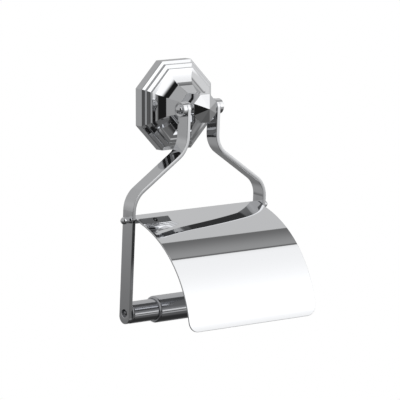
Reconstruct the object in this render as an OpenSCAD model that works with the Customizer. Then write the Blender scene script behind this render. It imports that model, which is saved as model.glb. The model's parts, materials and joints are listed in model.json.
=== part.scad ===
// Wall-hung toilet roll holder: an octagonal wall rose with a post, a pair of
// bent arms that swing from it, a curved lid on a rod, and a sprung roller.
// The origin is the middle of the rose's back, on the wall. +Z is up, the
// holder stands out along -Y and +X is to the right of someone facing it.

/* [Rose] */
// Width of the rose across its flats
rose_w = 69; // [64:1:76]
// Height of the rose's straight side
rose_side_h = 7; // [6:0.1:8]
// Width of the second tier across its flats
tier_2_w = 63.6; // [62:0.2:65]
// Width of the third tier across its flats
tier_3_w = 57.2; // [56.8:0.2:58]
// Slope of the two outer tiers' faces
tier_slope = 18; // [10:1:20]
// Radius of the cove between the rose and its post
cove_r = 16.7; // [16:0.1:17.5]

/* [Post] */
// Width of the post across its flats
post_w = 22; // [20:0.5:24]
// Distance from the wall to the axle
pivot_out = 34.7; // [33.5:0.1:37]
// Distance from the wall to the front corners of the post
post_out = 41.6; // [40.6:0.1:45]
// Height of the pyramid on the post's front
post_point_h = 5.4; // [3:0.1:8]
// Diameter of the axle
axle_d = 6; // [5:0.5:6]
// Diameter of the caps on the axle's ends
cap_d = 11.8; // [10:0.2:14]
// Length of each cap, without its dome
cap_l = 3.6; // [3:0.2:6]

/* [Arms] */
// Width of the arm's flat bar
bar_w = 12.2; // [10:0.2:14]
// Thickness of the bar
bar_t = 3; // [2.5:0.1:4]
// Clear width between the arms at the roller
arm_gap = 126; // [115:1:140]
// Distance from the axle down to the roller's axis
roller_drop = 153.4; // [150:0.2:160]
// Distance from the axle down to the lid's rod
rod_drop = 81.3; // [80:0.1:86]
// Distance from the axle down to the corner where the arms turn outwards
flare_drop = 30.5; // [26:0.5:31]
// Angle of the sloping stretch from the vertical
flare_angle = 56; // [52:1:58]
// Radius of both bends, along the middle of the bar
bend_r = 18.5; // [12:0.5:20]
// Angle by which the hanging arms lean back towards the wall
lean = 3.6; // [0:0.1:6]

/* [Lid] */
// Thickness of the lid's sheet
lid_t = 1.2; // [1:0.1:2]
// Gap between each end of the lid and its arm
lid_gap = 0.6; // [0.4:0.1:2]
// Radius of the lid's curve, to its outer face
lid_r = 87; // [80:1:100]
// Length of the flat stretch beside the rod
lid_flat = 13.5; // [8:0.5:20]
// Slope of that flat stretch below the horizontal
lid_slope = 20.6; // [15:0.2:25]
// Angle of the curved stretch
lid_sweep = 65.5; // [55:0.5:69]
// Radius of the lid's lower corners
lid_corner_r = 8; // [3:0.5:15]
// Diameter of the rod
rod_d = 4; // [3:0.5:5]
// Diameter of the ball nuts on the rod's ends
ball_d = 5.6; // [5.4:0.1:8]

/* [Roller] */
// Diameter of the roller's outer tube
outer_tube_d = 20.6; // [19:0.2:24]
// Diameter of the roller's inner tube
inner_tube_d = 16.6; // [14:0.2:16.8]
// Length of the inner tube that shows
inner_show = 24.6; // [15:0.2:35]
// Diameter of the spigots in the arms
spigot_d = 6.2; // [5:0.1:6.4]
// Length by which the inner tube can be pushed in
roller_travel = 8; // [5:0.5:10]

/* [Hidden] */
$fn = 96;

// Gaps: a turning or sliding fit on its radius, and side play between faces
fit = 0.05;
play = 0.05;
big = 400;

// Rose: each tier's face slopes up to the next tier's straight side. The cove
// starts a little off flat, and its last stretch to the post is straight.
bevel = 0.35;
riser_2_h = 1.65;
riser_3_h = 1.25;
tier_1_out = rose_side_h + bevel;
riser_2_out = tier_1_out + (rose_w / 2 - bevel - tier_2_w / 2) * tan(tier_slope);
tier_2_out = riser_2_out + riser_2_h + bevel;
riser_3_out = tier_2_out + (tier_2_w / 2 - bevel - tier_3_w / 2) * tan(tier_slope);
tier_3_out = riser_3_out + riser_3_h + bevel;
rose_wall = 2.8;
post_r = post_w / 2;
rose_out = 26;
cove_start_r = 26.8;
cove_start_angle = 7;
cove_end_angle = 60;
cove_start_out = tier_3_out + (tier_3_w / 2 - bevel - cove_start_r) * tan(cove_start_angle);
cove_centre = [cove_start_r, cove_start_out] + cove_r * [sin(cove_start_angle), cos(cove_start_angle)];
cove_steps = 16;

// Bracket inside the rose, held by its grub screw
bracket_d = 61;
bracket_rim_t = 3;
bracket_t = 3;
bracket_h = 4.6;
wall_screw_d = 4.5;
wall_screw_spacing = 36;
bracket_window_d = 18;
grub_d = 4;
grub_out = 2.6;
grub_socket = 2;
pocket_out = 5.2;
bolt_pocket_d = 44;
bolt_pocket_out = 9.2;

// Bolt through the rose into the post
bolt_d = 6;
bolt_head_w = 10;
bolt_head_h = 4;
bolt_hole_d = 6.4;
washer_d = 12;
washer_t = 1;
bolt_reach = 30.6;
bolt_bore_end = 31;

// Arms, in their own frame: the origin is on the axle, -Z runs down the arm
spacer_d = 10.6;
spacer_t = 2;
arm_top_x = post_r + play + spacer_t + bar_t / 2;
arm_low_x = (arm_gap + bar_t) / 2;
arm_end_drop = roller_drop + 2.2;
flare_run = arm_low_x - arm_top_x;
flare_end_drop = flare_drop + flare_run / tan(flare_angle);
bend_reach = bend_r * tan(flare_angle / 2);
bend_steps = 28;

// Caps, rod and balls
axle_end_x = arm_top_x + bar_t / 2 + 2;
cap_dome_d = 7;
cap_dome_sink = 0.4;
arm_outer_x = arm_low_x + bar_t / 2;
arm_inner_x = arm_low_x - bar_t / 2;
ball_out = 3.4;
ball_collar_d = 5;
rod_end_x = arm_outer_x + 3;

// Lid
barrel_r = rod_d / 2 + fit + lid_t;
lid_half_w = arm_inner_x - lid_gap;
lid_end_slope = lid_slope + lid_sweep;
lid_steps = 60;
barrel_steps = 48;

// Roller
tube_bore_d = inner_tube_d + 2 * fit;
inner_tube_wall = 1.5;
inner_tube_bore_d = inner_tube_d - 2 * inner_tube_wall;
outer_tube_x0 = -arm_inner_x + play + inner_show;
inner_tube_l = 58;
inner_tube_x0 = -arm_inner_x + play;
inner_tube_x1 = inner_tube_x0 + inner_tube_l;
plug_l = 8;
tube_edge_r = 1.6;
spigot_hole_d = spigot_d + 2 * fit;
spigot_tip_d = 3.4;
spigot_shoulder_x = arm_outer_x - 1.5;
spigot_end_x = arm_outer_x - 0.3;
spring_wire_d = 1.2;
spring_r = 7.2;
spring_turns = 11;
spring_sides = 6;
spring_steps = 18;
spring_x0 = inner_tube_x1 + spring_wire_d / 2;
spring_x1 = arm_inner_x - play - plug_l - spring_wire_d / 2;

chrome = "silver";
steel = "lightslategray";

// ---- Shared shapes ----

// Points along an arc, from one angle to another
function arc(centre, r, from, to, steps) =
    [for (i = [0:steps])
        let (a = from + (to - from) * i / steps)
        centre + r * [cos(a), sin(a)]];

// Body whose sections parallel to the wall are regular octagons. The child is
// its outline in plan: x across, -y out from the wall, the same on both sides.
module octagonal() {
    intersection_for (turn = [0:45:135])
        rotate([0, turn, 0])
            linear_extrude(big, center = true)
                children();
}

// Plan outline from a list of [half width, distance from the wall]
module plan_outline(half) {
    count = len(half);
    polygon(concat(
        [for (p = half) [p.x, -p.y]],
        [for (i = [count - 1:-1:0]) [-half[i].x, -half[i].y]]
    ));
}

// Round bar along Y, from one distance out from the wall to another
module bar_out(d, from, to) {
    translate([0, -from, 0])
        rotate([90, 0, 0])
            cylinder(d = d, h = to - from);
}

// Round bar along X
module bar_x(d, x0, x1) {
    translate([x0, 0, 0])
        rotate([0, 90, 0])
            cylinder(d = d, h = x1 - x0);
}

// Places something that hangs from the axle, in the arms' own frame
module on_arms() {
    translate([0, -pivot_out, 0])
        rotate([lean, 0, 0])
            children();
}

module on_rod() {
    on_arms()
        translate([0, 0, -rod_drop])
            children();
}

module on_roller_axis() {
    on_arms()
        translate([0, 0, -roller_drop])
            children();
}

// ---- Rose and post ----

// Cup plate that is screwed to the wall, with a rim for the grub screw
module wall_bracket() {
    color(steel)
        difference() {
            bar_out(bracket_d, 0, bracket_h);
            bar_out(bracket_d - 2 * bracket_rim_t, bracket_t, bracket_h + 1);
            bar_out(bracket_window_d, -1, bracket_h);
            for (side = [-1, 1])
                translate([0, 0, side * wall_screw_spacing / 2])
                    bar_out(wall_screw_d, -1, bracket_h);
        }
}

module rose_outline() {
    plan_outline(concat(
        [
            [rose_w / 2, 0],
            [rose_w / 2, rose_side_h],
            [rose_w / 2 - bevel, tier_1_out],
            [tier_2_w / 2, riser_2_out],
            [tier_2_w / 2, tier_2_out - bevel],
            [tier_2_w / 2 - bevel, tier_2_out],
            [tier_3_w / 2, riser_3_out],
            [tier_3_w / 2, tier_3_out - bevel],
            [tier_3_w / 2 - bevel, tier_3_out]
        ],
        arc(cove_centre, cove_r, -90 - cove_start_angle, -90 - cove_end_angle, cove_steps),
        [[post_r, rose_out]]
    ));
}

// Hollow stepped cover whose cove sweeps out to meet the post
module rose_cover() {
    pocket_r = rose_w / 2 - rose_wall;
    color(chrome)
        difference() {
            octagonal() rose_outline();
            octagonal() plan_outline([[pocket_r, -1], [pocket_r, pocket_out]]);
            bar_out(bolt_pocket_d, 0, bolt_pocket_out);
            bar_out(bolt_hole_d, 0, rose_out + 1);
            translate([0, -grub_out, -rose_w / 2 - 1])
                cylinder(d = grub_d, h = rose_wall + 2);
        }
}

// Socket screw in the underside of the rose, bearing on the bracket's rim
module grub_screw() {
    length = (rose_w - bracket_d) / 2;
    color(steel)
        translate([0, -grub_out, -rose_w / 2])
            difference() {
                cylinder(d = grub_d, h = length);
                translate([0, 0, -1])
                    cylinder(d = grub_socket, h = length / 2 + 1, $fn = 6);
            }
}

module post() {
    color(chrome)
        difference() {
            octagonal()
                plan_outline([[post_r, rose_out], [post_r, post_out], [0, post_out + post_point_h]]);
            bar_out(bolt_d, rose_out - 1, bolt_bore_end);
            translate([0, -pivot_out, 0])
                bar_x(axle_d + 2 * fit, -post_w, post_w);
        }
}

module post_bolt() {
    head_out = bolt_pocket_out - washer_t - bolt_head_h;
    color(steel)
        union() {
            translate([0, -head_out, 0])
                rotate([90, 0, 0])
                    cylinder(d = bolt_head_w / cos(30), h = bolt_head_h, $fn = 6);
            bar_out(bolt_d, head_out, bolt_reach);
        }
}

module bolt_washer() {
    color(steel)
        difference() {
            bar_out(washer_d, bolt_pocket_out - washer_t, bolt_pocket_out);
            bar_out(bolt_d, 0, rose_out);
        }
}

// ---- Swinging arms ----

module pivot_axle() {
    color(steel)
        on_arms()
            bar_x(axle_d, -axle_end_x, axle_end_x);
}

// Round nut on the axle's end, with a dome in the middle of its face
module cap() {
    inner_x = arm_top_x + bar_t / 2;
    color(chrome)
        on_arms()
            rotate([0, 90, 0])
                rotate_extrude()
                    difference() {
                        union() {
                            translate([0, inner_x])
                                square([cap_d / 2, cap_l]);
                            translate([0, inner_x + cap_l - cap_dome_sink])
                                circle(d = cap_dome_d);
                        }
                        translate([-cap_d, 0])
                            square([cap_d, big]);
                        square([axle_d / 2, axle_end_x]);
                    }
}

module left_cap() {
    mirror([1, 0, 0])
        cap();
}

module right_cap() {
    cap();
}

// Ring that keeps an arm clear of the post
module spacer() {
    color(chrome)
        on_arms()
            difference() {
                bar_x(spacer_d, post_r + play, post_r + play + spacer_t);
                bar_x(axle_d, 0, big);
            }
}

module left_spacer() {
    mirror([1, 0, 0])
        spacer();
}

module right_spacer() {
    spacer();
}

// The right arm's bar seen from the front, x outwards and y up from the axle
module bar_front() {
    half = bar_t / 2;
    top = bar_w;
    bottom = -arm_end_drop - bar_w;
    upper = [arm_top_x + bend_r, -flare_drop + bend_reach];
    lower = [arm_low_x - bend_r, -flare_end_drop - bend_reach];
    polygon(concat(
        [[arm_top_x - half, top]],
        arc(upper, bend_r + half, 180, 180 + flare_angle, bend_steps),
        arc(lower, bend_r - half, flare_angle, 0, bend_steps),
        [[arm_low_x - half, bottom], [arm_low_x + half, bottom]],
        arc(lower, bend_r + half, 0, flare_angle, bend_steps),
        arc(upper, bend_r - half, 180 + flare_angle, 180, bend_steps),
        [[arm_top_x + half, top]]
    ));
}

// The bar seen from the side: a strip with both ends round
module bar_side() {
    for (drop = [0, arm_end_drop])
        translate([0, -drop])
            circle(d = bar_w);
    translate([-bar_w / 2, -arm_end_drop])
        square([bar_w, arm_end_drop]);
}

module arm() {
    color(chrome)
        on_arms()
            difference() {
                intersection() {
                    rotate([90, 0, 0])
                        linear_extrude(2 * bar_w, center = true)
                            bar_front();
                    rotate([90, 0, 90])
                        linear_extrude(big)
                            bar_side();
                }
                bar_x(axle_d, 0, big);
                translate([0, 0, -rod_drop])
                    bar_x(rod_d, 0, big);
                translate([0, 0, -roller_drop])
                    bar_x(spigot_hole_d, 0, big);
            }
}

module left_arm() {
    mirror([1, 0, 0])
        arm();
}

module right_arm() {
    arm();
}

// ---- Lid ----

module hinge_rod() {
    color(chrome)
        on_rod()
            bar_x(rod_d, -rod_end_x, rod_end_x);
}

// Ball with a short collar against the arm, screwed on the rod's end
module ball_nut() {
    color(chrome)
        on_rod()
            rotate([0, 90, 0])
                rotate_extrude()
                    difference() {
                        union() {
                            translate([0, arm_outer_x + ball_out])
                                circle(d = ball_d);
                            translate([0, arm_outer_x])
                                square([ball_collar_d / 2, ball_out]);
                        }
                        translate([-ball_d, 0])
                            square([ball_d, big]);
                        square([rod_d / 2, rod_end_x]);
                    }
}

module left_ball_nut() {
    mirror([1, 0, 0])
        ball_nut();
}

module right_ball_nut() {
    ball_nut();
}

// The lid seen from its right end, about the rod: x is away from the wall.
// Its outline runs along the outer face, back along the inner one, then round
// the barrel that the sheet is rolled into.
module lid_section() {
    centre = [lid_flat, barrel_r - lid_r];
    end_angle = 90 - lid_sweep;
    barrel_meets = asin((barrel_r - lid_t) / barrel_r);
    difference() {
        rotate(-lid_slope)
            polygon(concat(
                arc(centre, lid_r, 90, end_angle, lid_steps),
                arc(centre, lid_r - lid_t, end_angle, 90, lid_steps),
                arc([0, 0], barrel_r, barrel_meets, -270, barrel_steps)
            ));
        circle(r = rod_d / 2 + fit);
    }
}

// Front view that rounds the lid's two lower corners
module lid_front() {
    drop = (barrel_r * cos(lid_slope) - lid_flat * sin(lid_slope))
        - lid_r * (cos(lid_slope) - cos(lid_end_slope));
    corner_x = lid_half_w - lid_corner_r;
    translate([-lid_half_w, drop + lid_corner_r])
        square([2 * lid_half_w, lid_r * 2]);
    translate([-corner_x, drop - lid_t])
        square([2 * corner_x, lid_r]);
    for (side = [-1, 1])
        translate([side * corner_x, drop + lid_corner_r])
            circle(r = lid_corner_r);
}

module lid() {
    color(chrome)
        translate([0, -pivot_out + rod_drop * sin(lean), -rod_drop * cos(lean)])
            intersection() {
                rotate([90, 0, -90])
                    linear_extrude(2 * lid_half_w, center = true)
                        lid_section();
                rotate([90, 0, 0])
                    linear_extrude(big, center = true)
                        lid_front();
            }
}

// ---- Roller ----

module roller_outer_tube() {
    x1 = arm_inner_x - play;
    half = outer_tube_d / 2;
    color(chrome)
        on_roller_axis()
            rotate([0, 90, 0])
                rotate_extrude()
                    difference() {
                        union() {
                            translate([0, outer_tube_x0 + tube_edge_r])
                                square([half, x1 - outer_tube_x0 - tube_edge_r]);
                            translate([0, outer_tube_x0])
                                square([half - tube_edge_r, x1 - outer_tube_x0]);
                            translate([half - tube_edge_r, outer_tube_x0 + tube_edge_r])
                                circle(r = tube_edge_r, $fn = 48);
                        }
                        translate([-1, outer_tube_x0 - 1])
                            square([1 + tube_bore_d / 2, x1 - outer_tube_x0 + 2]);
                    }
}

module roller_inner_tube() {
    color(chrome)
        on_roller_axis()
            difference() {
                bar_x(inner_tube_d, inner_tube_x0, inner_tube_x1);
                bar_x(inner_tube_bore_d, inner_tube_x0 - 1, inner_tube_x1 + 1);
            }
}

// Turned plug that closes the outer tube, with its spigot in the right arm
module right_end_plug() {
    x1 = arm_inner_x - play;
    color(steel)
        on_roller_axis() {
            bar_x(tube_bore_d, x1 - plug_l, x1);
            bar_x(spigot_d, x1 - plug_l / 2, spigot_shoulder_x);
            bar_x(spigot_tip_d, x1 - plug_l / 2, spigot_end_x);
        }
}

// Turned plug in the inner tube, with its spigot in the left arm
module left_end_plug() {
    color(steel)
        on_roller_axis() {
            bar_x(inner_tube_bore_d, inner_tube_x0, inner_tube_x0 + plug_l);
            bar_x(spigot_d, -spigot_shoulder_x, inner_tube_x0 + plug_l / 2);
            bar_x(spigot_tip_d, -spigot_end_x, inner_tube_x0 + plug_l / 2);
        }
}

// Points of one ring of the spring's wire, at a turn counted from its left end
function spring_ring(turn, pitch) =
    let (angle = 360 * turn)
    [for (k = [0:spring_sides - 1])
        let (
            a = 360 * k / spring_sides,
            r = spring_r + spring_wire_d / 2 * cos(a),
            x = spring_x0 + pitch * turn + spring_wire_d / 2 * sin(a)
        )
        [x, r * cos(angle), r * sin(angle)]];

// Coil between the inner tube's end and the right plug
module roller_spring() {
    pitch = (spring_x1 - spring_x0) / spring_turns;
    rings = spring_turns * spring_steps;
    points = [for (i = [0:rings]) each spring_ring(i / spring_steps, pitch)];
    sides = [for (i = [0:rings - 1], k = [0:spring_sides - 1])
        let (
            a = i * spring_sides + k,
            b = i * spring_sides + (k + 1) % spring_sides
        )
        [a, b, b + spring_sides, a + spring_sides]];
    first = [for (k = [spring_sides - 1:-1:0]) k];
    last = [for (k = [0:spring_sides - 1]) rings * spring_sides + k];
    color(steel)
        on_roller_axis()
            polyhedron(points, concat(sides, [first], [last]), convexity = 10);
}

wall_bracket();
rose_cover();
grub_screw();
post();
post_bolt();
bolt_washer();
pivot_axle();
left_cap();
right_cap();
left_spacer();
right_spacer();
left_arm();
right_arm();
hinge_rod();
left_ball_nut();
right_ball_nut();
lid();
roller_outer_tube();
right_end_plug();
roller_spring();
roller_inner_tube();
left_end_plug();
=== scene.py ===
# %% [markdown]
# # A wall-hung toilet roll holder in polished chrome
# The holder is brass, plated with chrome. A stepped octagonal rose sits on the wall and its post
# carries an axle. Two bent arms swing from the axle, with a curved lid on a rod between them and
# a sprung roller at the bottom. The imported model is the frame: it says where each joint is and how
# large each part is. The pieces made here take its place in the picture, with rolled, turned and
# bent shapes, small rounded edges, and a real finish.

# %% Tools and the frame
import json
import math

import bmesh
import bpy
from mathutils import Matrix, Vector


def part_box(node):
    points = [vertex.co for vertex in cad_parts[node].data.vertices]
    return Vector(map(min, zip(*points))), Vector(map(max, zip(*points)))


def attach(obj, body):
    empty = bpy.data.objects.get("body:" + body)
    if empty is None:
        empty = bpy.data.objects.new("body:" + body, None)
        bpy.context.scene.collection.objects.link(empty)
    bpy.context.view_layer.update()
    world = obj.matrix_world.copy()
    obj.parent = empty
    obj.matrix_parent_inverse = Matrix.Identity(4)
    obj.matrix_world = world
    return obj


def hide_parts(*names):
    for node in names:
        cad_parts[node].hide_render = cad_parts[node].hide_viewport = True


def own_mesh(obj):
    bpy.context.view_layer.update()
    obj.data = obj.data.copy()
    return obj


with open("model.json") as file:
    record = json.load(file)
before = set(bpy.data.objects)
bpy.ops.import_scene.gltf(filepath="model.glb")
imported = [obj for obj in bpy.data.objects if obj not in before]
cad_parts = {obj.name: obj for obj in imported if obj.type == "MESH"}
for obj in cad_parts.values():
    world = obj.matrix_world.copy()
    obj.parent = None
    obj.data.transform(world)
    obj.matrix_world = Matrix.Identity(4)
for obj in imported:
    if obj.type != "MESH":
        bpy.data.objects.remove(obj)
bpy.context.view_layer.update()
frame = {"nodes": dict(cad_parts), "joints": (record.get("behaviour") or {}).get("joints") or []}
nodes = frame["nodes"]
joints = {joint["name"]: joint for joint in frame["joints"]}

# %% [markdown]
# The three axes are read from the joints: the axle through the post, the rod that the lid turns
# on, and the spindle of the roller. The arms hang a few degrees back towards the wall, because
# the lid's weight is out in front, and that lean is the angle between the first two axes.

# %% Axes and the main sizes
MM = 0.001
axle = Vector(joints["arms_swing"]["pos_m"])
rod = Vector(joints["lid_hinge"]["pos_m"])
spindle = Vector(joints["roller_spin"]["pos_m"])
hang = rod - axle
lean = math.atan2(hang.y, -hang.z)
rod_drop = hang.length
spindle_drop = (spindle - axle).length
print("lean %.2f degrees, rod %.1f mm and roller %.1f mm below the axle"
      % (math.degrees(lean), rod_drop / MM, spindle_drop / MM))

# %% [markdown]
# ## Colour and finish
# Chrome plate is nearly colourless, so almost everything seen in it is the room. What makes it
# read as metal is in the small things: faint buffing marks that follow no direction, a trace of
# haze that differs from place to place, and on rolled sheet a waviness too slight to feel.
# Colours are written as sRGB hex values, and one function turns them to linear light.

# %% Helpers for colours and nodes
def linear(hex_colour):
    channels = [int(hex_colour[i:i + 2], 16) / 255 for i in (1, 3, 5)]
    return [c / 12.92 if c <= 0.04045 else ((c + 0.055) / 1.055) ** 2.4 for c in channels] + [1.0]


def add_node(tree, kind, settings=(), **inputs):
    """Adds a node, sets its properties, and links or sets its inputs, given by name or number."""
    node = tree.nodes.new(kind)
    for name, value in dict(settings).items():
        setattr(node, name, value)
    for name, value in inputs.items():
        key = int(name[2:]) if name.startswith("in") and name[2:].isdigit() else name.replace("_", " ")
        if isinstance(value, bpy.types.NodeSocket):
            tree.links.new(value, node.inputs[key])
        else:
            node.inputs[key].default_value = value
    return node


def new_material(name):
    """A material with a Principled surface. Returns it, its node tree and the surface."""
    material = bpy.data.materials.new(name)
    material.use_nodes = True
    tree = material.node_tree
    print("material", name)
    return material, tree, tree.nodes["Principled BSDF"]


# %% [markdown]
# Polished chrome over buffed brass. The mop that buffs it leaves marks about a third of a
# millimetre apart, which are too fine to see singly and show as a slight softening. The base
# colour is chrome's own, a very slightly blue grey, and darker on the tubes, whose plate is thin.
# The end plugs are darker still, which is painted shade: it stands for the shade in the arms'
# holes, where the plugs sit. Roughness is low and drifts by one to three hundredths over patches
# of a few centimetres, where a cloth has wiped it. A plain mirror would be simpler but looks drawn,
# and a picture of chrome would show some other room, so noise textures carry the marks.

# %% Polished chrome
WIPED_PATCH = 28 * MM
BUFF_MARK = 0.35 * MM
BUFF_DEPTH = 0.0006 * MM


def polished_chrome(name, colour, roughness, drift, wave_mm, wave_height):
    material, tree, surface = new_material(name)
    place = add_node(tree, "ShaderNodeTexCoord").outputs["Object"]
    patch = add_node(tree, "ShaderNodeTexNoise", Vector=place, Scale=1 / WIPED_PATCH, Detail=2.0)
    wiped = add_node(tree, "ShaderNodeMapRange", Value=patch.outputs["Fac"],
                     From_Min=0.3, From_Max=0.7, To_Min=roughness, To_Max=roughness + drift)
    marks = add_node(tree, "ShaderNodeTexNoise", Vector=place, Scale=1 / BUFF_MARK, Detail=3.0)
    wave = add_node(tree, "ShaderNodeTexNoise", Vector=place, Scale=1 / (wave_mm * MM), Detail=1.0)
    rolled = add_node(tree, "ShaderNodeBump", Height=wave.outputs["Fac"],
                      Distance=wave_height, Strength=1.0)
    buffed = add_node(tree, "ShaderNodeBump", Height=marks.outputs["Fac"],
                      Distance=BUFF_DEPTH, Strength=1.0, Normal=rolled.outputs["Normal"])
    surface.inputs["Base Color"].default_value = linear(colour)
    surface.inputs["Metallic"].default_value = 1.0
    tree.links.new(wiped.outputs["Result"], surface.inputs["Roughness"])
    tree.links.new(buffed.outputs["Normal"], surface.inputs["Normal"])
    return material


cast_chrome = polished_chrome("chrome_on_cast_brass", "#EDEEF0", 0.035, 0.02, 9, 0.0016 * MM)
bar_chrome = polished_chrome("chrome_on_bent_bar", "#EBECEE", 0.04, 0.02, 14, 0.002 * MM)
turned_chrome = polished_chrome("chrome_on_turned_brass", "#EDEEF0", 0.03, 0.015, 12, 0.0008 * MM)
sheet_chrome = polished_chrome("mirror_chrome_on_sheet", "#F1F2F4", 0.018, 0.012, 45, 0.004 * MM)
tube_chrome = polished_chrome("chrome_on_drawn_tube", "#CDCED1", 0.05, 0.03, 12, 0.0012 * MM)
# The end plugs' darker base colour is painted shade for the arms' holes, where they sit.
plug_chrome = polished_chrome("chrome_on_end_plug", "#8C8D90", 0.06, 0.03, 12, 0.0008 * MM)


# %% [markdown]
# The hidden parts are plainer. The wall bracket is pressed steel with zinc plate, which has a
# faint yellow bloom and dull cloudy patches. The screws and the axle are stainless steel, turned
# or drawn, so their marks run in fine lines. The spring is drawn wire, darkened by heat. One flat
# grey would do for parts so well hidden, but they show as soon as someone takes the holder apart.

# %% Zinc, stainless and spring steel
def plated_zinc(name):
    material, tree, surface = new_material(name)
    place = add_node(tree, "ShaderNodeTexCoord").outputs["Object"]
    cloud = add_node(tree, "ShaderNodeTexNoise", Vector=place, Scale=1 / (7 * MM), Detail=5.0)
    tint = add_node(tree, "ShaderNodeMix", {"data_type": "RGBA"}, Factor=cloud.outputs["Fac"],
                    in6=linear("#B4B3AC"), in7=linear("#C9CBCC"))
    dull = add_node(tree, "ShaderNodeMapRange", Value=cloud.outputs["Fac"], To_Min=0.28, To_Max=0.5)
    grain = add_node(tree, "ShaderNodeTexNoise", Vector=place, Scale=1 / (0.5 * MM), Detail=2.0)
    bump = add_node(tree, "ShaderNodeBump", Height=grain.outputs["Fac"], Distance=0.01 * MM)
    surface.inputs["Metallic"].default_value = 1.0
    tree.links.new(tint.outputs[2], surface.inputs["Base Color"])
    tree.links.new(dull.outputs["Result"], surface.inputs["Roughness"])
    tree.links.new(bump.outputs["Normal"], surface.inputs["Normal"])
    return material


def drawn_steel(name, colour, roughness, line_mm):
    """Steel with fine lines across X, as a lathe or a drawing die leaves them."""
    material, tree, surface = new_material(name)
    place = add_node(tree, "ShaderNodeTexCoord").outputs["Object"]
    stretch = add_node(tree, "ShaderNodeMapping", Vector=place,
                       Scale=(1 / (line_mm * MM), 1 / (4 * MM), 1 / (4 * MM)))
    lines = add_node(tree, "ShaderNodeTexNoise", Vector=stretch.outputs["Vector"],
                     Scale=1.0, Detail=3.0)
    rough = add_node(tree, "ShaderNodeMapRange", Value=lines.outputs["Fac"],
                     To_Min=roughness - 0.06, To_Max=roughness + 0.1)
    bump = add_node(tree, "ShaderNodeBump", Height=lines.outputs["Fac"], Distance=0.004 * MM)
    surface.inputs["Base Color"].default_value = linear(colour)
    surface.inputs["Metallic"].default_value = 1.0
    tree.links.new(rough.outputs["Result"], surface.inputs["Roughness"])
    tree.links.new(bump.outputs["Normal"], surface.inputs["Normal"])
    return material


zinc_plate = plated_zinc("zinc_plate_on_steel")
stainless = drawn_steel("turned_stainless", "#C4C4C2", 0.24, 0.3)
spring_wire = drawn_steel("drawn_spring_wire", "#8E8B86", 0.3, 0.5)

# %% [markdown]
# ## How a piece is finished
# Every edge of a real casting or bar is slightly round, and that thin curve is what catches the
# light. So a piece gets a small bevel on its sharp edges and smooth shading, and a Weighted Normal
# modifier lets its large faces keep their own flat normals while the bevels blend between them.
# A Bevel modifier could round the edges too, but here the bevel is a mesh operator, so that each
# piece chooses which edges it rounds before it is bent.

# %% Helpers for meshes
MERGE_WITHIN = 0.002 * MM


def sharp_edges(bm, degrees=28):
    limit = math.radians(degrees)
    return [e for e in bm.edges if len(e.link_faces) == 2 and e.calc_face_angle() > limit]


def round_edges(bm, edges, width, segments=2):
    bmesh.ops.bevel(bm, geom=edges, offset=width, affect="EDGES", segments=segments,
                    profile=0.5, material=-1, clamp_overlap=True)


def finish_piece(bm, name, material, body, slot_name, *replaced):
    """Makes the object, shades it, and fastens it to its body in place of the CAD nodes."""
    bmesh.ops.remove_doubles(bm, verts=bm.verts, dist=MERGE_WITHIN)
    bmesh.ops.recalc_face_normals(bm, faces=bm.faces)
    for face in bm.faces:
        face.smooth = True
    mesh = bpy.data.meshes.new(name)
    bm.to_mesh(mesh)
    bm.free()
    piece = bpy.data.objects.new(name, mesh)
    bpy.context.scene.collection.objects.link(piece)
    mesh.materials.append(material)
    weighted = piece.modifiers.new("weighted_normal", "WEIGHTED_NORMAL")
    weighted.keep_sharp = True
    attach(piece, body)
    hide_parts(*replaced)
    print(name, "has", len(mesh.polygons), "faces")
    return piece


def outline(bm, points):
    """A chain of edges through the points, which a spin then turns into a surface."""
    verts = [bm.verts.new(p) for p in points]
    edges = [bm.edges.new(pair) for pair in zip(verts, verts[1:])]
    return verts + edges


def turn(bm, points, centre, axis, steps):
    """Spins an outline once round an axis and closes the seam."""
    geom = outline(bm, points)
    bmesh.ops.spin(bm, geom=geom, cent=centre, axis=axis, angle=math.tau,
                   steps=steps, use_merge=True, use_duplicate=False)
    bmesh.ops.remove_doubles(bm, verts=bm.verts, dist=MERGE_WITHIN)
    bmesh.ops.recalc_face_normals(bm, faces=bm.faces)


def arc(centre, radius, start, end, count):
    """Points (across, up) round a centre, from one angle to another in degrees."""
    for i in range(count + 1):
        a = math.radians(start + (end - start) * i / count)
        yield centre[0] + radius * math.cos(a), centre[1] + radius * math.sin(a)


# %% [markdown]
# ## The rose and its post
# A mitred octagonal moulding is one profile carried round eight sides. Spinning the profile in
# eight steps makes it, with the profile drawn at a corner, which is farther out than a flat by
# one over the cosine of 22.5 degrees. Stacked eight-sided cylinders would give the steps but not
# the cove. The rose is a hollow cup: its profile goes up the stepped outside, along the cove, and
# back down the inside. It is polished by hand, so its ridges are rounded only by a sixth of a
# millimetre.

# %% Rose cover
CORNER = 1 / math.cos(math.radians(22.5))
rose_low, rose_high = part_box("rose_cover")
post_low, post_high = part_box("post")
rose_r = rose_high.x
rose_out = -rose_low.y
post_r = post_high.x
post_tip = -post_low.y


def octagon_points(profile):
    """Turns (distance from the wall, half width across flats) into points at a corner."""
    a = math.radians(22.5)
    return [(r * CORNER * math.cos(a), -out, r * CORNER * math.sin(a)) for out, r in profile]


side_h = 7 * MM
# The half width and the riser's height of the second tier and the third
tiers = ((31.8 * MM, 1.65 * MM), (28.6 * MM, 1.25 * MM))
tier_slope = math.tan(math.radians(18))
ease = 0.35 * MM
cove_r = 16.7 * MM
cove_start = 26.8 * MM
cove_angle = 7
cove_end_angle = 60
ridge_rounding = 0.16 * MM
# Inside: the hole for the bolt, the room for its washer, and the room for the wall bracket
bolt_hole_r = 3.2 * MM
washer_room_r = 22 * MM
washer_room_out = 9.2 * MM
bracket_room_r = 31.7 * MM
bracket_room_out = 5.2 * MM


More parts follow.
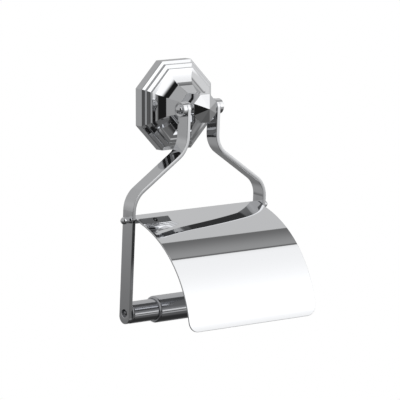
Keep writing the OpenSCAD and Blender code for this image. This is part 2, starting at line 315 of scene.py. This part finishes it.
def rose_profile():
    """The stepped outside, where each tier's face slopes up to the next, then the hollow inside."""
    yield 0, rose_r
    out = side_h
    r = rose_r
    yield out, r
    for next_r, riser_h in tiers:
        out += ease
        r -= ease
        yield out, r
        out += (r - next_r) * tier_slope
        r = next_r
        yield out, r
        out += riser_h
        yield out, r
    out += ease
    r -= ease
    yield out, r
    out += (r - cove_start) * math.tan(math.radians(cove_angle))
    start = math.radians(cove_angle)
    centre = (cove_start + cove_r * math.sin(start), out + cove_r * math.cos(start))
    for r, out in arc(centre, cove_r, -90 - cove_angle, -90 - cove_end_angle, 20):
        yield out, r
    yield rose_out, post_r
    yield rose_out, bolt_hole_r
    yield washer_room_out, bolt_hole_r
    yield washer_room_out, washer_room_r
    yield bracket_room_out, washer_room_r
    yield bracket_room_out, bracket_room_r
    yield 0, bracket_room_r
    yield 0, rose_r


bm = bmesh.new()
turn(bm, octagon_points(rose_profile()), (0, 0, 0), (0, 1, 0), 8)
round_edges(bm, sharp_edges(bm, 9), ridge_rounding)
finish_piece(bm, "rose_shell", cast_chrome, "rose", "rose_chrome", "rose_cover")

# %% [markdown]
# The post is the same idea without the hollow: a straight octagonal bar with a shallow pyramid.
# An eight-sided cone on a cylinder would leave a seam between them, which one profile doesn't. The
# post's point and ridges stay crisp, because they are polished flat, facet by facet, so those edges
# are marked sharp.

# %% Post
post_front = 41.6 * MM
bm = bmesh.new()
turn(bm, octagon_points([(rose_out, 0), (rose_out, post_r), (post_front, post_r), (post_tip, 0)]),
     (0, 0, 0), (0, 1, 0), 8)
round_edges(bm, sharp_edges(bm, 30), 0.15 * MM)
for edge in bm.edges:
    if max(v.co.y for v in edge.verts) < -post_front and edge.calc_face_angle(0) > math.radians(10):
        edge.smooth = False
finish_piece(bm, "post_bar", cast_chrome, "rose", "rose_chrome", "post")

# %% [markdown]
# ## The arms
# A real arm is cut from flat bar, drilled, and bent twice round a former. A box pulled along a
# curve would give the bends, but the holes would have to be cut by a Boolean. So it is made as the
# real one is. A circle stretched downwards gives the blank with its round ends, three smaller
# circles are its holes, and a triangle fill leaves them open. Then it is given its thickness.

# %% The flat blank
bar_w = 12.2 * MM
bar_t = 3 * MM
bend_r = 18.5 * MM
flare_drop = 30.5 * MM
flare = math.radians(56)
end_past_spindle = 2.2 * MM
axle_hole_r = 3 * MM
rod_hole_r = 2 * MM
spigot_hole_r = 3.15 * MM
arm_low, arm_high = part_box("right_arm")
top_x = arm_low.x + bar_t / 2
low_x = arm_high.x - bar_t / 2
bend_reach = bend_r * math.tan(flare / 2)
bend_length = bend_r * flare
slope_length = (low_x - top_x) / math.sin(flare) - 2 * bend_reach
flare_end = flare_drop + (low_x - top_x) / math.tan(flare)
first_bend = flare_drop - bend_reach
second_bend = first_bend + bend_length + slope_length
# What lies below the second bend keeps its length, so depths there move down by this much
stretch = second_bend + bend_length - (flare_end + bend_reach)
blank_drop = spindle_drop + end_past_spindle + stretch
print("the blank is %.1f mm long" % ((blank_drop + bar_w) / MM))


def arm_blank():
    bm = bmesh.new()
    side = Matrix.Rotation(math.radians(90), 4, "Y")
    rim = bmesh.ops.create_circle(bm, segments=48, radius=bar_w / 2, matrix=side)["verts"]
    below = [v for v in rim if v.co.z < -0.01 * MM]
    bmesh.ops.translate(bm, verts=below, vec=(0, 0, -blank_drop))
    for radius, depth in ((axle_hole_r, 0), (rod_hole_r, rod_drop + stretch),
                          (spigot_hole_r, spindle_drop + stretch)):
        hole = Matrix.Translation((0, 0, -depth)) @ side
        bmesh.ops.create_circle(bm, segments=40, radius=radius, matrix=hole)
    bmesh.ops.triangle_fill(bm, edges=bm.edges, use_beauty=True, use_dissolve=False)
    bmesh.ops.translate(bm, verts=bm.verts, vec=(top_x - bar_t / 2, 0, 0))
    grown = bmesh.ops.extrude_face_region(bm, geom=bm.faces)["geom"]
    moved = [g for g in grown if isinstance(g, bmesh.types.BMVert)]
    bmesh.ops.translate(bm, verts=moved, vec=(bar_t, 0, 0))
    bmesh.ops.recalc_face_normals(bm, faces=bm.faces)
    return bm


# %% [markdown]
# A former bends the bar a little at a time. A Simple Deform modifier bends too, but its limits are
# shares of the whole object, which is awkward for two bends at exact depths. So the bar is cut
# across wherever it will bend, and everything past a cut turns by a small angle about the middle of
# the bar, cut after cut. That keeps the length of the bar's middle line, as bending does.

# %% Bending
CUT_WITHIN = 0.001 * MM
ON_THE_CUT = 0.004 * MM


def cut_across(bm, place, normal):
    bmesh.ops.bisect_plane(bm, geom=bm.verts[:] + bm.edges[:] + bm.faces[:], dist=CUT_WITHIN,
                           plane_co=place, plane_no=normal)


def bend(bm, axis, start, along, length, angle, steps):
    """Bends what lies past start, in the direction along, by an angle spread over a length.

    Each cut turns everything past it, and turns its own points by half as much."""
    def depth(vert):
        return (vert.co - start).dot(along)

    for i in range(steps + 1):
        cut_across(bm, start + along * length * i / steps, along)
    depths = {vert: depth(vert) for vert in bm.verts}
    for i in range(steps, -1, -1):
        at = length * i / steps
        share = angle / steps * (0.5 if i in (0, steps) else 1)
        past = [v for v, d in depths.items() if d > at + ON_THE_CUT]
        on = [v for v, d in depths.items() if abs(d - at) <= ON_THE_CUT]
        for verts, part in ((past, share), (on, share / 2)):
            bmesh.ops.rotate(bm, verts=verts, cent=start + along * at,
                             matrix=Matrix.Rotation(part, 3, axis))


# %% [markdown]
# The edges are eased while the blank is flat. The lower bend comes first, while the bar above it is
# still straight, and the upper bend then carries it outwards. The left arm could be drawn anew, but
# it is the right one mirrored. At the end each arm leans as far as the holder hangs back, and moves
# to the axle.

# %% Both arms
def make_arm(name, node, side):
    bm = arm_blank()
    round_edges(bm, sharp_edges(bm, 60), 0.32 * MM, 3)
    down = Vector((0, 0, -1))
    across = Vector((0, 1, 0))
    bend(bm, across, Vector((top_x, 0, -second_bend)), down, bend_length, flare, 24)
    bend(bm, across, Vector((top_x, 0, -first_bend)), down, bend_length, -flare, 24)
    if side < 0:
        bmesh.ops.scale(bm, verts=bm.verts, vec=(-1, 1, 1))
    bmesh.ops.rotate(bm, verts=bm.verts, cent=(0, 0, 0), matrix=Matrix.Rotation(lean, 3, "X"))
    bmesh.ops.translate(bm, verts=bm.verts, vec=axle)
    return finish_piece(bm, name, bar_chrome, "arms", "arm_chrome", node)


make_arm("left_bar", "left_arm", -1)
make_arm("right_bar", "right_arm", 1)

# %% [markdown]
# ## Turned fittings
# The caps, collars and ball nuts come off a lathe. Each could be put together from cylinders and
# spheres, but those would only overlap, so each is one profile spun round X, which is what a lathe
# makes. Profiles are drawn for the right side, from the inner end outwards, and mirrored for the
# left.

# %% A turned fitting on one side
def turned_piece(name, node, side, profile, centre, material=turned_chrome,
                 body="arms", slot_name="fitting_chrome", edge=0.25 * MM, steps=72):
    """profile is (x, radius) pairs, for the right side, round the line through centre."""
    bm = bmesh.new()
    turn(bm, [(x, 0, r) for x, r in profile], (0, 0, 0), (1, 0, 0), steps)
    round_edges(bm, sharp_edges(bm, 35), edge, 3)
    bmesh.ops.scale(bm, verts=bm.verts, vec=(side, 1, 1))
    bmesh.ops.translate(bm, verts=bm.verts, vec=(0, centre.y, centre.z))
    return finish_piece(bm, name, material, body, slot_name, node)


# %% [markdown]
# A cap is a round nut that holds its arm on the axle. It has a narrow rim, and a dome stands in
# the hollow inside the rim. A collar is a plain ring that keeps the arm off the post.

# %% Caps and collars on the axle
cap_low, cap_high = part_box("right_cap")
cap_r = (cap_high.z - cap_low.z) / 2
dome_r = 3.5 * MM
dome_sink = 0.4 * MM
rim_w = 1.2 * MM
hollow_depth = 0.5 * MM
gap_round_dome = 0.3 * MM
axle_bore_r = 3.05 * MM


def cap_profile():
    """A round nut with a narrow rim, and a dome that rises from the hollow inside it."""
    dome_x = cap_high.x - dome_r
    face = dome_x + dome_sink
    yield cap_low.x, 0
    yield cap_low.x, cap_r
    yield face, cap_r
    yield face, cap_r - rim_w
    yield face - hollow_depth, dome_r + gap_round_dome
    foot = 90 + math.degrees(math.asin((hollow_depth - dome_sink) / dome_r))
    for x, up in arc((dome_x, 0), dome_r, foot, 0, 24):
        yield x, up


collar_low, collar_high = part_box("right_spacer")
collar_r = (collar_high.z - collar_low.z) / 2
collar_profile = [(collar_low.x, axle_bore_r), (collar_low.x, collar_r), (collar_high.x, collar_r),
                  (collar_high.x, axle_bore_r), (collar_low.x, axle_bore_r)]
for side, word in ((-1, "left"), (1, "right")):
    turned_piece(word + "_cap_nut", word + "_cap", side, cap_profile(), axle, edge=0.35 * MM)
    turned_piece(word + "_collar", word + "_spacer", side, collar_profile, axle)

# %% [markdown]
# The lid's rod ends in a ball nut on each side, outside the arms. A sphere would be quicker, but
# the real ball stands on a short neck, so the outline has the neck and then most of a circle.

# %% Ball nuts on the lid's rod
ball_low, ball_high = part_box("right_ball_nut")
ball_r = (ball_high.z - ball_low.z) / 2
ball_x = ball_high.x - ball_r
neck_r = 2.4 * MM
neck_angle = 180 - math.degrees(math.asin(neck_r / ball_r))
ball_profile = [(ball_low.x, 0), (ball_low.x, neck_r)]
ball_profile += list(arc((ball_x, 0), ball_r, neck_angle, 0, 32))
for side, word in ((-1, "left"), (1, "right")):
    turned_piece(word + "_ball", word + "_ball_nut", side, ball_profile, rod, edge=0.1 * MM)

# %% [markdown]
# ## The lid
# The lid is one piece of brass sheet. Its side view could be drawn and pulled out sideways, but
# then the rounded corners would have to be cut afterwards. Rolling the flat sheet, as the maker
# does, keeps both simple. Its blank is a rectangle with two rounded corners. It is drawn lying flat
# at the top of the barrel, rolled to a large radius in front and into a tight barrel round the rod
# at the back, and then tipped down.

# %% Lid
sheet_t = 1.2 * MM
lid_r = 87 * MM
lid_sweep = math.radians(65.5)
lid_flat = 13.5 * MM
lid_slope = math.radians(20.6)
lid_low, lid_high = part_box("lid")
barrel_bore_r = 2.05 * MM
barrel_mid_r = barrel_bore_r + sheet_t / 2
lid_corner_r = 8 * MM
barrel_turn = math.radians(318)


def lid_blank():
    front = lid_flat + (lid_r - sheet_t / 2) * lid_sweep
    back = barrel_mid_r * barrel_turn
    bm = bmesh.new()
    bmesh.ops.create_grid(bm, x_segments=1, y_segments=1, size=1)
    for vert in bm.verts:
        vert.co = (lid_high.x * vert.co.x, back if vert.co.y > 0 else -front, 0)
    corners = [v for v in bm.verts if v.co.y < 0]
    bmesh.ops.bevel(bm, geom=corners, offset=lid_corner_r, affect="VERTICES", segments=14,
                    profile=0.5, material=-1)
    grown = bmesh.ops.extrude_face_region(bm, geom=bm.faces)["geom"]
    moved = [g for g in grown if isinstance(g, bmesh.types.BMVert)]
    bmesh.ops.translate(bm, verts=moved, vec=(0, 0, sheet_t))
    bmesh.ops.translate(bm, verts=bm.verts, vec=(0, 0, barrel_mid_r - sheet_t / 2))
    bmesh.ops.recalc_face_normals(bm, faces=bm.faces)
    return bm


bm = lid_blank()
round_edges(bm, sharp_edges(bm, 60), 0.3 * MM, 3)
along_x = Vector((1, 0, 0))
rolled_length = (lid_r - sheet_t / 2) * lid_sweep
bend(bm, along_x, Vector((0, -lid_flat, barrel_mid_r)), Vector((0, -1, 0)),
     rolled_length, lid_sweep, 88)
bend(bm, along_x, Vector((0, 0, barrel_mid_r)), Vector((0, 1, 0)),
     barrel_mid_r * barrel_turn, -barrel_turn, 40)
bmesh.ops.rotate(bm, verts=bm.verts, cent=(0, 0, 0), matrix=Matrix.Rotation(lid_slope, 3, "X"))
bmesh.ops.translate(bm, verts=bm.verts, vec=(0, rod.y, rod.z))
finish_piece(bm, "lid_sheet", sheet_chrome, "lid", "lid_chrome", "lid")

# %% [markdown]
# The rod is a plain turned bar, and the lid's barrel goes round it. A cylinder would do, but the
# outline gives its ends the same small rounding as the other turned parts have.

# %% Lid's rod
rod_low, rod_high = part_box("hinge_rod")
rod_r = (rod_high.z - rod_low.z) / 2
rod_profile = [(rod_low.x, 0), (rod_low.x, rod_r), (rod_high.x, rod_r), (rod_high.x, 0)]
turned_piece("lid_rod", "hinge_rod", 1, rod_profile, rod, edge=0.3 * MM)

# %% [markdown]
# ## The roller
# Two drawn brass tubes slide one in the other, and a spring pushes them apart so that a turned
# spigot at each end stays in its arm. A cylinder with a Solidify modifier would make a tube, but
# its mouth would be square. The outer tube's mouth is rolled over to a round lip, so its wall is
# drawn as an outline with that lip and spun.

# %% Roller tubes
outer_low, outer_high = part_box("roller_outer_tube")
inner_low, inner_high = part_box("roller_inner_tube")
outer_r = (outer_high.z - outer_low.z) / 2
inner_r = (inner_high.z - inner_low.z) / 2
slide_gap = 0.05 * MM
bore_r = inner_r + slide_gap
lip_r = 1.6 * MM
inner_wall = 1.5 * MM
inner_lip_r = 1.3 * MM


def outer_tube_profile():
    yield outer_low.x, bore_r
    for across, up in arc((outer_low.x + lip_r, outer_r - lip_r), lip_r, 180, 90, 10):
        yield across, up
    yield outer_high.x, outer_r
    yield outer_high.x, bore_r
    yield outer_low.x, bore_r


def inner_tube_profile():
    wall_r = inner_r - inner_wall
    yield inner_low.x, wall_r
    for across, up in arc((inner_low.x + inner_lip_r, inner_r - inner_lip_r), inner_lip_r, 180, 90, 8):
        yield across, up
    yield inner_high.x, inner_r
    yield inner_high.x, wall_r
    yield inner_low.x, wall_r


turned_piece("outer_tube", "roller_outer_tube", 1, outer_tube_profile(), spindle, tube_chrome,
             "roller", "roller_chrome", 0.2 * MM, 96)
turned_piece("inner_tube", "roller_inner_tube", 1, inner_tube_profile(), spindle, tube_chrome,
             "inner_tube", "roller_chrome", 0.25 * MM, 96)

# %% [markdown]
# A plug closes each end of the roller and carries the spigot that sits in the arm's hole. Its tip
# is slimmer than the hole, so a dark ring shows round it, and the plug's darker chrome adds painted
# shade in the hole. Each plug could have an outline of its own, but one serves both, and the sizes
# in which they differ are read from the frame.

# %% End plugs
spigot_r = 3.1 * MM
tip_r = 1.7 * MM
tip_length = 1.2 * MM
tip_dome = 0.4 * MM
tip_crown = 0.1 * MM
tip_crown_r = 0.9 * MM


def plug_profile(node):
    """A disc in the tube, a spigot, and a slimmer domed tip that shows in the arm's hole."""
    low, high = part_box(node)
    side = 1 if high.x > 0 else -1
    end = max(abs(low.x), abs(high.x))
    back = min(abs(low.x), abs(high.x))
    disc_r = (high.z - low.z) / 2
    shoulder = abs(inner_low.x)
    profile = [(back, 0), (back, disc_r), (shoulder, disc_r), (shoulder, spigot_r),
               (end - tip_length, spigot_r), (end - tip_length, tip_r), (end - tip_dome, tip_r),
               (end - tip_crown, tip_crown_r), (end, 0)]
    return side, profile


for piece_name, node, body in (("left_plug", "left_end_plug", "inner_tube"),
                               ("right_plug", "right_end_plug", "roller")):
    side, profile = plug_profile(node)
    # The plugs' chrome is darkened as painted shade for the arms' holes.
    turned_piece(piece_name, node, side, profile, spindle, plug_chrome, body, "plug_chrome", 0.15 * MM)

# %% [markdown]
# The spring is a small circle carried round the roller's axis while it moves along it, which is
# what a spin with a sideways step does. A Screw modifier does the same, but the spin leaves a plain
# mesh whose ends can be closed. In the holder the spring shortens by the 8 mm that the inner tube
# can be pushed in; here it keeps the length it has in the frame.

# %% Spring
spring_low, spring_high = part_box("roller_spring")
wire_r = 0.6 * MM
coil_r = 7.2 * MM
coil_turns = 11
coil_steps = coil_turns * 36
coil_length = spring_high.x - spring_low.x - 2 * wire_r
bm = bmesh.new()
ring = bmesh.ops.create_circle(bm, segments=10, radius=wire_r,
                               matrix=Matrix.Translation((spring_low.x + wire_r, coil_r, 0)))
bmesh.ops.spin(bm, geom=ring["verts"] + bm.edges[:], cent=(0, 0, 0), axis=(1, 0, 0),
               dvec=(coil_length / coil_steps, 0, 0), angle=coil_turns * math.tau,
               steps=coil_steps, use_merge=False, use_duplicate=False)
bmesh.ops.holes_fill(bm, edges=bm.edges, sides=10)
bmesh.ops.translate(bm, verts=bm.verts, vec=(0, spindle.y, spindle.z))
coil_spring = finish_piece(bm, "coil_spring", spring_wire, "roller", "spring_steel", "roller_spring")
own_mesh(coil_spring)

# %% [markdown]
# ## Parts that keep their CAD shape
# The bracket, screws, washer and axle are hidden or plain, and their shapes are already right.
# Making them again would add nothing to see, so they only get their finish.

# %% Finish of the hidden parts
hidden_parts = {"wall_bracket": zinc_plate, "grub_screw": stainless, "post_bolt": stainless,
                "bolt_washer": stainless, "pivot_axle": stainless}
for node, material in hidden_parts.items():
    slots = nodes[node].data.materials
    slots.clear()
    slots.append(material)
print(len(hidden_parts), "parts keep their shape")

# %% [markdown]
# ## The studio
# Chrome shows nothing but its surroundings, so the studio is drawn with care. It is a light tent:
# a large white softbox to the right and in front, pale grey cloth behind and to the left, a dark
# gap overhead between them, a dark table below, and the dark end of the room where the camera
# stands. Area lamps and boards could be set up round the holder, but each would be seen or cast a
# shadow from some side. So the studio is the world itself: each part of it is a region of
# directions bounded by planes through the holder, with a soft edge, and its tone is linear light,
# where 1 is the white of the backdrop.

# %% Regions of the studio
world = bpy.data.worlds.new("light_tent")
bpy.context.scene.world = world
world.use_nodes = True
sky = world.node_tree
sky.nodes.clear()
direction = add_node(sky, "ShaderNodeTexCoord").outputs["Generated"]


def height_over(normal):
    """How far a direction points to the front of the plane with this normal."""
    return add_node(sky, "ShaderNodeVectorMath", {"operation": "DOT_PRODUCT"},
                    in0=direction, in1=Vector(normal).normalized()).outputs["Value"]


def between(value, start, end, low=0.0, high=1.0):
    """Goes smoothly from low to high as the value goes from start to end."""
    return add_node(sky, "ShaderNodeMapRange", {"interpolation_type": "SMOOTHSTEP"}, Value=value,
                    From_Min=start, From_Max=end, To_Min=low, To_Max=high).outputs["Result"]


def combined(kind, first, *others):
    """Adds or multiplies several tones or masks, or takes the largest."""
    for other in others:
        step = add_node(sky, "ShaderNodeMath", {"operation": kind}, in0=first, in1=other)
        first = step.outputs["Value"]
    return first


def over(below, above, mask):
    """Lays one tone over another where the mask is 1."""
    mix = add_node(sky, "ShaderNodeMix", {"data_type": "FLOAT"}, in0=mask, in2=below, in3=above)
    return mix.outputs[0]


right = height_over((1, 0, 0))
back = height_over((0, 1, 0))
up = height_over((0, 0, 1))
print("the regions are measured by", len(sky.nodes), "nodes so far")

# %% [markdown]
# The cloth gives the flat sides of the arms and the top of the lid their grey. It is lighter high
# up, most of all at the right, and dark near the table at the left. The table gives the undersides
# their dark bands. It is darkest straight below the holder, and paler in front, behind and to both
# sides. One grey for each would be simpler, but then the arms and tubes would look cut from paper.

# %% Cloth and table
CLOTH_UPPER_LEFT = 0.42
CLOTH_LOWER_LEFT = 0.17
TABLE_FAR_LEFT = 0.31
TABLE_BELOW = 0.04
cloth = between(up, -0.2, 0.5, 0.35, 0.56)
upper_left = combined("MULTIPLY", between(up, 0.0, 0.4), between(right, 0.5, -0.1))
cloth = over(cloth, CLOTH_UPPER_LEFT, upper_left)
lower_left = combined("MULTIPLY", between(up, -0.115, -0.19), between(right, 0.1, -0.3))
cloth = over(cloth, CLOTH_LOWER_LEFT, lower_left)
table = combined("ADD", between(back, -0.25, 0.1, 0.14, 0.075), between(back, 0.25, 0.7, 0.0, 0.12),
                 between(right, 0.72, 0.95, 0.0, 0.14))
far_left = combined("MULTIPLY", between(right, 0.05, -0.35), between(back, 0.55, 0.7))
table = over(table, TABLE_FAR_LEFT, far_left)
table = over(table, TABLE_BELOW, between(up, -0.62, -0.76))
print("cloth and table take", len(sky.nodes), "nodes")

# %% [markdown]
# The gap between the softbox and the cloth is what draws the dark band across the lid. It ends in
# a thin dark line along the softbox, and fades into the dark end of the room at the left, where the
# camera stands. That darkness gives the rose and the post their black facets.

# %% Dark gap overhead and the dark end of the room
SOFTBOX_TOP_EDGE = (0, -1, -0.33)
CLOTH_FRONT_EDGE = (0, 1, -0.0734)
CLOTH_LEFT_EDGE = (-0.6588, 0.586, 0.0934)
EDGE_LINE = 0.14
DARK_ROOM = 0.012
above_edge = height_over(SOFTBOX_TOP_EDGE)
gap = between(above_edge, -0.30, -0.035, 0.15, 0.31)
gap = over(gap, EDGE_LINE, between(above_edge, -0.03, -0.015))
gap = over(DARK_ROOM, gap, between(right, 0.1, 0.5))
behind_gap = between(height_over(CLOTH_FRONT_EDGE), -0.006, 0.006)
left_cloth = between(height_over(CLOTH_LEFT_EDGE), -0.02, 0.03)
tone = over(gap, cloth, combined("MAXIMUM", behind_gap, left_cloth))
tone = over(tone, table, between(up, -0.2, -0.36))
print("with the gap they take", len(sky.nodes), "nodes")

# %% [markdown]
# The softbox is the white in the lid and in the upper facets of the rose. It is brightest just
# above the horizon, dimmer below it, most of all towards its left edge, and dimmer again where it
# goes round to the right and the back. A lighter strip of table lies below it.

# %% Softbox
SOFTBOX_LEFT_EDGE = (1, 0.06, 0.1)
SOFTBOX_RIGHT = 0.72
SOFTBOX_BACK = 0.55
TABLE_STRIP = 0.55
foot = between(right, 0.1, 0.7, 0.22, 0.98)
softbox = over(foot, between(up, 0.1, 0.75, 1.3, 0.98), between(up, -0.1, 0.1))
softbox = over(softbox, SOFTBOX_RIGHT, between(right, 0.68, 0.75))
softbox = over(softbox, SOFTBOX_BACK, between(back, -0.3, -0.1))
shape = combined("MULTIPLY", between(above_edge, -0.004, 0.006),
                 between(height_over(SOFTBOX_LEFT_EDGE), -0.12, 0.05),
                 between(up, -0.27, -0.19), between(back, 0.05, -0.25))
tone = over(tone, softbox, shape)
strip = combined("MULTIPLY", between(up, -0.49, -0.44), between(up, -0.33, -0.38),
                 between(right, 0.3, 0.6), between(back, -0.3, -0.5))
tone = over(tone, TABLE_STRIP, strip)
print("with the softbox they take", len(sky.nodes), "nodes")

# %% [markdown]
# The backdrop that the camera itself sees is plain white, and so is the light that dull surfaces
# get, so that the floor comes out pale. A white board behind the holder would be mirrored in it.

# %% The backdrop and the world
rays = add_node(sky, "ShaderNodeLightPath")
tone = over(tone, 1.0, rays.outputs["Is Camera Ray"])
tone = over(tone, 1.0, rays.outputs["Is Diffuse Ray"])
light = add_node(sky, "ShaderNodeBackground", Color=tone, Strength=1.0)
add_node(sky, "ShaderNodeOutputWorld", Surface=light.outputs["Background"])
bpy.context.scene.view_settings.view_transform = "Standard"
bpy.context.scene.view_settings.look = "None"
print("the studio has", len(sky.nodes), "nodes")

# %% [markdown]
# A pale painted floor lies well below the holder, for views from above. It could be a huge plane,
# but a disc is enough and leaves the white backdrop whole from the side. It is kept out of the
# chrome, where the table already stands for it.

# %% Floor
floor_depth = 0.42
floor_r = 0.6
floor_paint, tree, surface = new_material("pale_floor_paint")
place = add_node(tree, "ShaderNodeTexCoord").outputs["Object"]
patches = add_node(tree, "ShaderNodeTexNoise", Vector=place, Scale=1 / (60 * MM), Detail=3.0)
shade = add_node(tree, "ShaderNodeMix", {"data_type": "RGBA"}, Factor=patches.outputs["Fac"],
                 in6=linear("#F1F1EF"), in7=linear("#F6F6F5"))
tree.links.new(shade.outputs[2], surface.inputs["Base Color"])
surface.inputs["Roughness"].default_value = 0.8
bm = bmesh.new()
bmesh.ops.create_circle(bm, cap_ends=True, segments=96, radius=floor_r,
                        matrix=Matrix.Translation((0, 0, -floor_depth)))
mesh = bpy.data.meshes.new("floor")
bm.to_mesh(mesh)
bm.free()
mesh.materials.append(floor_paint)
floor = bpy.data.objects.new("floor", mesh)
bpy.context.scene.collection.objects.link(floor)
floor.visible_glossy = False
print("the floor is %.2f m below the axle" % floor_depth)

# %% [markdown]
# ## Camera
# A long lens from well back, a little above the holder and to its left, keeps its edges nearly
# parallel as in a catalogue picture. A camera close by would make the roller look too large beside
# the rose. The camera aims between the axle and the roller.

# %% Camera
view_turn = math.radians(39.54)
view_rise = math.radians(8.21)
view_distance = 2.6207
aim = Vector((10.6, -22.6, -73.4)) * MM
back_to_camera = Vector((-math.sin(view_turn) * math.cos(view_rise),
                         -math.cos(view_turn) * math.cos(view_rise), math.sin(view_rise)))
camera_data = bpy.data.cameras.new("catalogue_camera")
camera_data.sensor_width = 36
camera_data.lens = 306.2
camera_data.clip_start = 0.05
camera_data.clip_end = 50
camera = bpy.data.objects.new("catalogue_camera", camera_data)
bpy.context.scene.collection.objects.link(camera)
camera.location = aim + back_to_camera * view_distance
camera.rotation_mode = "QUATERNION"
camera.rotation_quaternion = back_to_camera.to_track_quat("Z", "Y")
bpy.context.scene.camera = camera
print("the camera stands %.2f m away" % view_distance)

# %% [markdown]
# ## Sizes
# The pieces must stay inside the frame's box.

# %% The end
print("the holder is built")
